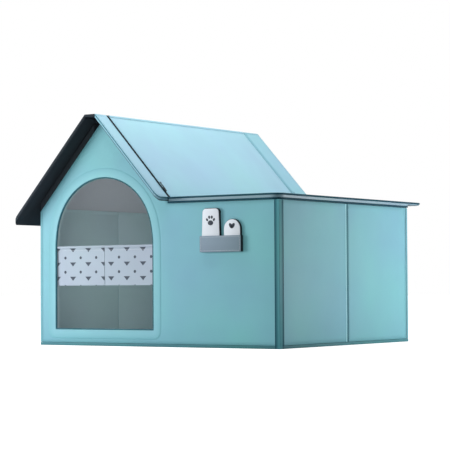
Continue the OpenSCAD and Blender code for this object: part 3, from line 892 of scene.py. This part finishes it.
# %% Tape on the doorway's edge, and the base
TAPE_END = wall_low.y + 2.5 * MM
piece = round_edges(soft_copy("doorway_tape", "door_binding"), 0.9 * MM, 3)
cut_at(piece, [(Y * TAPE_END, Y)])
sides = {"second": felt, "on": lambda face: face.center.y > TAPE_END}
settle(piece, tape_cloth, "dark_binding", "base", ["door_binding"], **sides)
piece = round_edges(soft_copy("base_cloth", "base_cover"), 0.5 * MM, 2)
settle(piece, base_edge_cloth, "wall_cover", "base", ["base_cover"])

# %% [markdown]
# ## Corners and folds
# The walls fold along their corners and along the middle of each side wall. The cloth runs on over
# these folds, so each one gets a strip of cloth laid across it.

# %% Corner at the front right
corner_low, corner_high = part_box("corner_binding")
corner = round_edges(soft_copy("corner_tape", "corner_binding"), 0.55 * MM, 2)
cut_grid(corner, [X, Y], 1 * MM)


def from_corner_edge(spot):
    """Distance of a point on the corner's binding from the binding's long edge on that wall."""
    on_front = spot.y < wall_low.y + 0.1 * MM
    return max(0, spot.x - corner_low.x) if on_front else max(0, corner_high.y - spot.y)


# This distance places the corner tape's painted shadow along its inner edges.
mark_edge(corner, from_corner_edge)
bend_over(
    corner,
    corner_cloth,
    "dark_binding",
    ("base", "right_front_wall"),
    (wall_high.x, wall_low.y, 0),
    (wall_high.x + 1 * MM, wall_low.y + 14 * MM, 0),
)
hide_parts("corner_binding")
CORNER_SEAMS = {  # x, y, low end, radius, body
    "front": (corner_low.x + 0.4 * MM, corner_low.y + 1.1 * MM, 2 * MM, 1.2 * MM, "base"),
    "side": (corner_high.x - 1.3 * MM, corner_high.y - 0.2 * MM, 7 * MM, 1.5 * MM, "right_front_wall"),
}
for name, (x, y, low, radius, body) in CORNER_SEAMS.items():
    cord = round_cord("corner_seam_" + name, [(x, y, low), (x, y, corner_high.z - 1 * MM)], radius)
    settle(cord, binding_cloth, "dark_binding", body)

# %% Folds in the middle of the side walls
FOLD_FRONT, FOLD_REAR = 6.4 * MM, 4.4 * MM
FOLD_DEPTH = 1.4 * MM
FOLD_REACH = 1.6 * MM
# The strip's pale part, in front of this, is a painted highlight.
FOLD_HIGHLIGHT_END = -1.7 * MM  # the strip is pale in front of this
FOLD_SIDES = {"second": fold_highlight_cloth, "on": lambda face: face.center.y < FOLD_HIGHLIGHT_END}


def fold_strip(name, face_x, out, bodies, top):
    """The cloth in the fold between two halves of a side wall: dark as painted shade in the groove, with a
    painted highlight where the front half's edge rounds.
    """
    shape = [(FOLD_FRONT * i / 8, FOLD_DEPTH * (1 + i / 8) ** 2) for i in range(-8, 0)]
    shape += [(FOLD_REAR * i / 8, FOLD_DEPTH * (1 - i / 8) ** 2) for i in range(9)]
    profile = [(face_x - out * (depth - 0.2 * MM), y, wall_low.z + 1 * MM) for y, depth in shape]
    piece = strip(name, profile, (0, 0, top - wall_low.z - 2 * MM), 0.25 * MM)
    start, end = (face_x, -FOLD_REACH, 0), (face_x, FOLD_REACH, 0)
    bend_over(piece, fold_cloth, "wall_cover", bodies, start, end, **FOLD_SIDES)


fold_strip("right_fold", side_high.x, 1, ("right_front_wall", "right_rear_wall"), side_high.z)
left_wall_low, left_wall_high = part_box("left_front_cover")
fold_strip("left_fold", left_wall_low.x, -1, ("left_front_wall", "left_rear_wall"), left_wall_high.z)

# %% Cloth round the other two sewn corners
WRAP_REACH, WRAP_RISE, WRAP_R = 7 * MM, 0.25 * MM, 2 * MM


def corner_wrap(name, corner_x, corner_y, out, bodies, top):
    """A strip of wall cloth round an upright corner, from the side wall on to the end wall. The corner
    points along X and Y by out, 1 or -1."""
    low, first = wall_low.z + 1 * MM, 0 if out > 0 else 180
    middle = (corner_x - out * WRAP_R, corner_y - out * WRAP_R)
    spots = [(corner_x + out * WRAP_RISE, corner_y - out * t) for t in (WRAP_REACH, WRAP_REACH / 2)]
    spots += arc(*middle, WRAP_R + WRAP_RISE, first, first + 90, 8)
    spots += [(corner_x - out * t, corner_y + out * WRAP_RISE) for t in (WRAP_REACH / 2, WRAP_REACH)]
    piece = strip(name, [(*spot, low) for spot in spots], (0, 0, top - 2 * MM - low), 0.3 * MM)
    start = (corner_x, corner_y - out * WRAP_REACH, 0)
    bend_over(piece, wall_cloth, "wall_cover", bodies, start, (corner_x, corner_y - out * MM, 0))


corner_wrap("rear_right_wrap", wall_high.x, wall_y_end, 1, ("right_rear_wall", "rear_wall"), side_high.z)
corner_wrap("front_left_wrap", *wall_low.xy, -1, ("left_front_wall", "base"), left_wall_high.z)

# %% [markdown]
# ## Roof
# The roof is a stiff left slope, a narrow ridge, two fixed flaps over the gables and, between the
# flaps, a panel that opens. The underside of the left slope carries a foam pad, black where it
# overhangs the walls and grey over the room, and its edges are bound in black.

# %% Roof covers
ROOF_SEAM, FLAP_SEAM = 6.5 * MM, 4.2 * MM
ROOF_REACH = 35 * MM
ROOF = {  # CAD node, body, outwards, down the slope, spacing of the cuts, height of the swell
    "left_slope_cloth": ("roof_left_cover", "roof", left_out, left_down, 12 * MM, 0.8 * MM),
    "ridge_cloth": ("ridge_strip", "roof", Z, X, 7 * MM, 0.2 * MM),
    "front_flap_cloth": ("front_flap", "roof", right_out, right_down, 8 * MM, 0.3 * MM),
    "rear_flap_cloth": ("rear_flap", "roof", right_out, right_down, 8 * MM, 0.3 * MM),
    "right_slope_cloth": ("roof_right_cover", "right_roof", right_out, right_down, 10 * MM, 1.0 * MM),
    "lid_cloth": ("lid_cover", "lid", Z, X, 12 * MM, 0.9 * MM),
}
EDGES = {  # a second cloth, and the faces that it covers
    "lid_cover": {"second": lid_side_cloth, "on": lambda face: face.normal.z < 0.5},
    # Black on the left slope's top end face and on the ridge's underside and ends is painted shade.
    "roof_left_cover": {"second": black_cloth, "on": lambda face: face.normal.x > 0.5},
    "ridge_strip": {
        "second": black_cloth,
        "on": lambda face: face.normal.z < 0.3 and abs(face.normal.x) < 0.9,
    },
}
for name, (node, body, out, down, spacing, height) in ROOF.items():
    piece = round_edges(soft_copy(name, node), 1.2 * MM)
    seams = hem_paths(piece, out, FLAP_SEAM if node.endswith("flap") else ROOF_SEAM)
    cut_grid(piece, [down, Y], spacing)
    crown(piece, out, height, ROOF_REACH)
    material = rear_flap_cloth if node == "rear_flap" else roof_cloth
    settle(piece, material, "roof_cover", body, [node], **EDGES.get(node, {}))
    if node != "ridge_strip":
        sew(name.replace("cloth", "stitches"), seams[-1:], roof_thread, body, "roof_cover")

# %% Black binding of the left slope and of the ridge's ends
def edge_tape(name, node, out, keep, wrap, thickness):
    """A tape round the outer edges of a panel: its edge faces, and a border of its upper face."""
    piece = soft_copy(name, node)
    choose(piece, "FACE", lambda face: looks_along(face, out))
    bpy.ops.mesh.inset(thickness=wrap, use_even_offset=True)
    bpy.ops.mesh.delete(type="FACE")
    leave()
    drop(piece, lambda face: not keep(face))
    modify(piece, "SOLIDIFY", thickness=thickness, offset=1, use_even_offset=True)
    return round_edges(close_up(piece), thickness * 0.4, 2, 40)


def on_left_edge(face):
    """Whether a face of the left slope's cover lies on one of its free edges."""
    spot, normal = face.center, face.normal
    middle = Vector(((left_low.x + left_high.x) / 2, (left_low.y + left_high.y) / 2))
    outwards = Vector(normal.xy).dot(Vector(spot.xy) - middle) > 0
    if abs(normal.z) < 0.05:
        return outwards and normal.x < 0.5
    near_side = min(spot.y - left_low.y, left_high.y - spot.y) < 12 * MM
    return looks_along(face, left_out) and (near_side or spot.x < left_low.x + 30 * MM)


def on_ridge_end(face):
    """Whether a face of the ridge strip lies at one of its two ends."""
    near_end = min(face.center.y - ridge_low.y, ridge_high.y - face.center.y) < 4 * MM
    return abs(face.normal.y) > 0.9 or (face.normal.z > 0.9 and near_end)


TAPES = {  # CAD node, outwards, which faces stay
    "left_slope_tape": ("roof_left_cover", left_out, on_left_edge),
    "ridge_end_tape": ("ridge_strip", Z, on_ridge_end),
}
for name, (node, out, keep) in TAPES.items():
    tape = edge_tape(name, node, out, keep, 6 * MM, 0.4 * MM)
    settle(tape, black_cloth, "black_lining", "roof")

# %% Binding of the flaps' gable edges
for end, sign, cloth_of_edge in [("front", -1, flap_edge_cloth), ("rear", 1, grey_piping)]:
    tape = edge_tape(
        end + "_flap_tape",
        end + "_flap",
        right_out,
        lambda face: face.normal.y * sign > 0.05 and abs(face.normal.dot(right_out)) < 0.1,
        1 * MM,
        0.35 * MM,
    )
    settle(tape, cloth_of_edge, "dark_binding", "roof")

# %% Piping of the flaps
CORNER_R = 11 * MM


def slope_point(x, y, depth=0.0):
    """The point of the right slope at x and y, at a depth below its face."""
    return Vector((x, y, ridge_high.z - (x - ridge_high.x) * math.tan(PITCH) - depth / math.cos(PITCH)))


def flap_edge(node, inward):
    """Points along a flap's gable edge, round its low corner and back to the zip. Inward, along Y, is
    1 for the front flap and -1 for the rear one."""
    low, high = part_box(node)
    end_y, inner_y = (low.y, high.y) if inward > 0 else (high.y, low.y)
    foot, centre_x, centre_y = high.x, high.x - CORNER_R, end_y + inward * CORNER_R
    spots = chain(
        straight((ridge_high.x, end_y), (centre_x, end_y), 30),
        arc(centre_x, centre_y, CORNER_R, -90 * inward, 0, 8),
        straight((foot, centre_y), (foot, inner_y), 4),
    )
    return [slope_point(x, y, 0.9 * MM) for x, y in spots]


PIPINGS = {  # way inwards along Y, radius, cloth, slot
    "front_flap": (1, 1.0 * MM, flap_cord_cloth, "dark_binding"),
    "rear_flap": (-1, 1.1 * MM, grey_piping, "roof_cover"),
}
for node, (inward, radius, material, slot) in PIPINGS.items():
    settle(round_cord(node + "_piping", flap_edge(node, inward), radius), material, slot, "roof")

# %% Linings and foam pad
DARK = {  # the linings, and the body of each
    "roof_left_lining": "roof",
    "roof_right_lining": "right_roof",
    "front_flap_lining": "roof",
    "rear_flap_lining": "roof",
    "lid_lining": "lid",
}
ROOM_LOW = wall_low + Vector((0.4, 4, 4)) * MM
ROOM_HIGH = Vector((wall_high.x - 4 * MM, wall_y_end - 4 * MM, door_high.z + 60 * MM))
ROOM_PLANES = [(ROOM_LOW, X), (ROOM_HIGH, X), (ROOM_LOW, Y), (ROOM_HIGH, Y), (ROOM_HIGH, Z)]


def in_room(face):
    """Whether a face lies within the four walls and below the dark gable."""
    spot = face.center
    inside = ROOM_LOW.x < spot.x < ROOM_HIGH.x and ROOM_LOW.y < spot.y < ROOM_HIGH.y
    return inside and spot.z < ROOM_HIGH.z


for node, body in DARK.items():
    piece = round_edges(soft_copy(node + "_cloth", node), 0.3 * MM, 2)
    cut_at(piece, ROOM_PLANES)
    settle(piece, black_cloth, "black_lining", body, [node], second=roof_felt, on=in_room)

pad = round_edges(soft_copy("left_slope_pad", "roof_left_pad"), 4 * MM, 4)
cut_grid(pad, [left_down, Y], 12 * MM)
crown(pad, -left_out, 0.2 * MM, 40 * MM, 0.05 * MM)
cut_at(pad, ROOM_PLANES)
settle(pad, black_cloth, "black_lining", "roof", ["roof_left_pad"], second=roof_felt, on=in_room)

# %% Felt on the left wall's top, cut to the slope of the roof
for half in ("left_front", "left_rear"):
    low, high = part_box(half + "_cover")
    rises = [(wall_low.x + 1 * MM, 0), (high.x, 0), (high.x, 8 * MM), (wall_low.x + 1 * MM, 0.4 * MM)]
    outline = [(x, low.y + 1 * MM, high.z + rise) for x, rise in rises]
    piece = bar(half + "_top_felt", outline, (0, high.y - low.y - 2 * MM, 0))
    settle(piece, felt, "inner_lining", half + "_wall")

# %% [markdown]
# ## Lid
# The lid's edge shows two dark cords with a strip of pale cloth between them; the lower cord, along
# the foot of the lid where it meets the walls, is painted shade. The lid folds up along the foot of the
# slope, where a narrow strip of cloth lies in the crease.

# %% Cords round the lid
LID_R = 22 * MM
LID_CORD = 2.0 * MM
LID_CORD_OUT = 0.1 * MM


def lid_edge(end_y, height, wrap_rear):
    """Points along the lid's front, right and, where wrap_rear says so, rear edge."""
    out, radius = LID_CORD_OUT, LID_R + LID_CORD_OUT
    left, right, front = lid_low.x, lid_high.x + out, lid_low.y - out
    rear = end_y + out if wrap_rear else end_y
    last = rear - radius if wrap_rear else rear
    parts = [
        straight((left, front), (right - radius, front), 12),
        arc(right - radius, front + radius, radius, -90, 0, 12),
        straight((right, front + radius), (right, last), 12),
    ]
    if wrap_rear:
        parts.append(arc(right - radius, last, radius, 0, 90, 12))
        parts.append(straight((right - radius, rear), (left, rear), 12))
    return [(*point, height) for point in chain(*parts)]


top_path = lid_edge(lid_high.y, lid_high.z - LID_CORD, True)
low_path = lid_edge(wall_y_end, lid_low.z + LID_CORD, False)
top_cord = round_cord("lid_top_cord", top_path, LID_CORD)
# The lower cord, where the lid meets the walls, is a dark line of painted shade.
low_shade_cord = round_cord("lid_low_cord", low_path, LID_CORD)
settle(top_cord, binding_cloth, "dark_binding", "lid", ["lid_piping"])
settle(low_shade_cord, binding_cloth, "dark_binding", "lid")

# %% Creases at the ridge and at the lid's fold
CREASE_STEP = 0.6 * MM
slope_y0, slope_y1 = slope_low.y + 2 * MM, slope_high.y - 2 * MM


def crease(name, at, before, after, bodies):
    """A thin strip over a fold that runs along Y: it follows one panel, bends and follows the other."""
    corner = at + (Z + right_out).normalized() * (0.5 * MM)
    profile = [corner - before * (9 - i) * CREASE_STEP for i in range(9)]
    profile += [corner + after * i * CREASE_STEP for i in range(1, 10)]
    profile = [Vector((p.x, slope_y0, p.z)) for p in profile]
    piece = strip(name, profile, (0, slope_y1 - slope_y0, 0), 0.3 * MM)
    bend_over(piece, roof_cloth, "roof_cover", bodies, at - before * 2 * MM, at + after * 2 * MM)


ridge_fold = Vector((ridge_high.x + 0.3 * MM, 0, ridge_high.z))
crease("ridge_crease", ridge_fold, X, right_down, ("roof", "right_roof"))
crease("lid_crease", Vector((lid_low.x, 0, lid_high.z)), right_down, X, ("right_roof", "lid"))

# %% [markdown]
# ## Zips
# A zip is two woven tapes with a row of teeth on each. One tape is sewn to the flap and one to the
# panel, so each goes with its own body, and the rows mesh in the middle.

# %% Tapes and teeth
TEETH_PITCH = 2.4 * MM
TOOTH = Vector((1.3, 1.6, 0.8)) * MM


def zip_half(name, node, side, body, material, slot):
    """One tape of a zip, on the low (-1) or high (1) side of its middle, with its row of teeth."""
    low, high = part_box(node)
    middle = (low.y + high.y) / 2
    tape = soft_copy(name, node)
    for place, normal in [
        (Vector((0, middle + side * 0.25 * MM, 0)), -side * Y),
        (slope_point(ridge_high.x, 0) + right_out * 0.3 * MM, right_out),
    ]:
        whole(tape)
        bpy.ops.mesh.bisect(plane_co=place, plane_no=normal, clear_outer=True, use_fill=True)
        leave()
    round_edges(tape, 0.2 * MM, 2)
    length = (high.x - low.x) / math.cos(PITCH) - 6 * MM
    bpy.ops.mesh.primitive_cube_add(size=1)
    row = only(bpy.context.object)
    row.data.transform(Matrix.Diagonal((*TOOTH, 1)))
    modify(row, "BEVEL", width=0.2 * MM, segments=1)
    repeated(row, TEETH_PITCH, fit_type="FIXED_COUNT", count=int(length / TEETH_PITCH))
    start = slope_point(ridge_high.x, middle + side * 0.7 * MM) + right_down * 3 * MM
    start += right_down * (TEETH_PITCH / 2 if side > 0 else 0) + right_out * 0.4 * MM
    row.data.transform(Matrix.Translation(start) @ Matrix.Rotation(PITCH, 4, "Y"))
    return settle(joined([tape, row], name), material, slot, body, smooth=40)


ZIPS = {  # side of the flap along Y, cloth of the tapes, their slot, metal of the slider
    "front": (-1, zip_black, "zip_tape", zinc),
    "rear": (1, zip_teal, "dark_binding", painted_zinc),
}
for end, (flap_side, material, slot, metal) in ZIPS.items():
    node = end + "_zip"
    tape = zip_half(end + "_zip_flap_tape", node, flap_side, "roof", material, slot)
    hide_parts(node)
    zip_half(end + "_zip_panel_tape", node, -flap_side, "right_roof", material, slot)
    piece = round_edges(soft_copy(end + "_zip_pull", end + "_slider"), 0.35 * MM, 2)
    settle(piece, metal, "zip_metal", end + "_zip_slider", [end + "_slider"])

# %% [markdown]
# ## Curtains
# Two short curtains hang from a thin rod. Each is one sheet of cotton: its top edge goes over the rod
# and is sewn down behind, and its low edge is turned up as a hem. A grid is wrapped along that path,
# given a slight wave, and then left to hang with Blender's cloth.

# %% Path of the cloth round the rod
rod_low, rod_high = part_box("curtain_rod")
rod_y, rod_z = (rod_low.y + rod_high.y) / 2, (rod_low.z + rod_high.z) / 2
CLOTH = 0.4 * MM
SLEEVE_R = 2.7 * MM
SLEEVE_DROP = 8 * MM
HEM = 8 * MM
COLUMNS, ROW_STEP = 42, 2.4 * MM  # of the sheet's grid
WAVES, WAVE_HEIGHT, RUFFLE_HEIGHT = 2.5, 0.35 * MM, 0.4 * MM


def curtain_path(low_z):
    """Points (y, z) from the sewn edge behind the rod, over it, and down to the turned-up hem."""
    half = 0.3 * MM
    points = [(rod_y + half, rod_z - SLEEVE_DROP), (rod_y + half, rod_z - 5 * MM)]
    points += arc(rod_y, rod_z, SLEEVE_R, -62, 242, 20)
    points += [(rod_y - half, rod_z - 5 * MM), (rod_y - half, rod_z - SLEEVE_DROP)]
    points += [(rod_y - half, low_z + 0.4 * MM), (rod_y, low_z), (rod_y + half, low_z + 0.4 * MM)]
    points.append((rod_y + half, low_z + HEM))
    return [Vector((0, *p)) for p in points]


def spread(points, step):
    """The same path with points no further than step apart, and the length up to each."""
    result, lengths = [points[0]], [0.0]
    for a, b in zip(points, points[1:]):
        count = max(1, math.ceil((b - a).length / step))
        for i in range(1, count + 1):
            result.append(a.lerp(b, i / count))
            lengths.append(lengths[-1] + (b - a).length / count)
    return result, lengths


# %% Hang a curtain
def hang(side, seed, print_start):
    """One curtain as a sheet of cloth, cut so that the print starts at print_start."""
    node = "curtain_" + side
    low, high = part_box(node)
    width = high.x - low.x
    path, lengths = spread(curtain_path(low.z), ROW_STEP)
    bpy.ops.mesh.primitive_grid_add(x_subdivisions=COLUMNS, y_subdivisions=len(path) - 1, size=1)
    sheet = only(bpy.context.object)
    sheet.name = side + "_curtain_sheet"
    mesh = sheet.data
    layer = mesh.uv_layers.active
    spots = [(v.co.x + 0.5, round((v.co.y + 0.5) * (len(path) - 1))) for v in mesh.vertices]
    for loop in mesh.loops:
        share, row = spots[loop.vertex_index]
        layer.data[loop.index].uv = (share * width + print_start, lengths[row])
    pins = sheet.vertex_groups.new(name="sewn")
    for vertex, (share, row) in zip(mesh.vertices, spots):
        point = path[row]
        hanging = max(0, (rod_z - SLEEVE_DROP - point.z) / (rod_z - SLEEVE_DROP - low.z))
        x = low.x + share * width
        wave = math.sin(share * 2 * math.pi * WAVES + seed) * WAVE_HEIGHT
        wave += noise.noise(Vector((x * 30, point.z * 12, seed))) * RUFFLE_HEIGHT
        vertex.co = (x, point.y + wave * hanging, point.z)
        pins.add([vertex.index], 1.0 if hanging == 0 else 0.0, "REPLACE")
    drape(sheet)
    modify(sheet, "SOLIDIFY", thickness=CLOTH, offset=0)
    settle(sheet, curtain_cloth, "curtain_cloth", side + "_curtain", [node], smooth=60)
    seam_z = rod_z - SLEEVE_DROP + 1 * MM
    seam = [(low.x + width * i / 20, rod_y - 0.75 * MM, seam_z) for i in range(21)]
    body = side + "_curtain"
    row = sew(body + "_seam", [seam], white_thread, body, "curtain_cloth", 3.4 * MM, False)


HANGING = {
    "vertex_group_mass": "sewn",
    "quality": 6,
    "mass": 0.15,
    "tension_stiffness": 40,
    "compression_stiffness": 40,
    "bending_stiffness": 0.5,
}
HANGING_FRAMES = 15
FURTHEST_MOVE = 0.6 * MM


def drape(sheet):
    """Let the free part of the sheet hang for a moment, then keep it near its place."""
    before = [v.co.copy() for v in sheet.data.vertices]
    only(sheet)
    settings = sheet.modifiers.new("hang", "CLOTH").settings
    for name, value in HANGING.items():
        setattr(settings, name, value)
    for frame_number in range(1, HANGING_FRAMES + 1):
        bpy.context.scene.frame_set(frame_number)
    bpy.ops.object.modifier_apply(modifier="hang")
    bpy.context.scene.frame_set(1)
    for vertex, old in zip(sheet.data.vertices, before):
        move = vertex.co - old
        vertex.co = old + move * min(1, FURTHEST_MOVE / max(move.length, 1e-9))


hang("left", 1.0, 0)
hang("right", 2.6, -17 * MM)

# %% [markdown]
# ## Wall pocket and tags
# A felt pocket on the front holds two tags; its sides and bottom are black as painted shade. The tags are
# foam between dark and white felt, with a
# plain motif cut from dark felt on each: a paw on the tall one, a heart on the short one.

# %% Pocket
for node, material, slot in [
    ("pocket_front", pocket_felt, "pocket_felt"),
    # The pocket's black gusset, on its sides and bottom, is painted shade.
    ("pocket_gusset", black_cloth, "tag_black"),
    ("tall_tag_body", black_cloth, "tag_black"),
    ("short_tag_body", black_cloth, "tag_black"),
    ("tall_tag_face", white_felt, "tag_white"),
    ("short_tag_face", white_felt, "tag_white"),
]:
    piece = soft_copy(node + "_felt", node)
    if node == "pocket_front":
        seams = hem_paths(piece, -Y, 2.6 * MM)
    round_edges(piece, 0.4 * MM, 2)
    settle(piece, material, slot, "base", [node])
sew("pocket_stitches", seams, white_thread, "base", "pocket_felt", 3.6 * MM)

# %% Motifs
def blob(name, x, z, width, height, front, turn=0.0):
    """A flat oval of felt on the front of a tag, with its middle at x and z."""
    bpy.ops.mesh.primitive_circle_add(vertices=28, radius=0.5, fill_type="NGON")
    piece = only(bpy.context.object)
    piece.name = name
    whole(piece)
    bpy.ops.mesh.extrude_region_move(TRANSFORM_OT_translate={"value": (0, 0, 0.5 * MM)})
    leave()
    piece.data.transform(Matrix.Diagonal((width, height, 1, 1)))
    piece.data.transform(Matrix.Rotation(turn, 4, "Z"))
    piece.data.transform(Matrix.Rotation(math.pi / 2, 4, "X"))
    piece.data.transform(Matrix.Translation((x, front, z)))
    return close_up(piece)


def motif(name, blobs):
    """Join flat pieces of felt to one motif."""
    settle(round_edges(joined(blobs, name), 0.12 * MM, 2), motif_felt, "tag_black", "base")


tall_low, tall_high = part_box("tall_tag_face")
tall_x = (tall_low.x + tall_high.x) / 2
paw_z = tall_high.z - 24 * MM
paw = [blob("paw", tall_x, paw_z - 5 * MM, 13 * MM, 10 * MM, tall_low.y)]
for dx, dz, turn in [(-8.5, 1.5, 0.5), (-3.2, 6.5, 0.15), (3.2, 6.5, -0.15), (8.5, 1.5, -0.5)]:
    paw.append(blob("toe", tall_x + dx * MM, paw_z + dz * MM, 4.6 * MM, 6.4 * MM, tall_low.y, turn))
motif("paw_motif", paw)

short_low, short_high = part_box("short_tag_face")
short_x = (short_low.x + short_high.x) / 2
heart_z = short_high.z - 13 * MM
heart = [
    blob("heart", short_x + side * 2.6 * MM, heart_z, 7 * MM, 12 * MM, short_low.y, side * -0.62)
    for side in (-1, 1)
]
motif("heart_motif", heart)

# %% [markdown]
# ## Boards, rod and what stays as it is
# The boards, the curtain rod and the base board are simple shapes, and the frame's own solids are
# right for them. They only need their finish.

# %% Finishes on the frame's own pieces
for node, mesh_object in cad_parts.items():
    finish = cardboard if node.endswith("_board") else enamel if node == "curtain_rod" else None
    if finish:
        mesh_object.data.materials.clear()
        mesh_object.data.materials.append(finish)
        print(node, "->", finish.name)
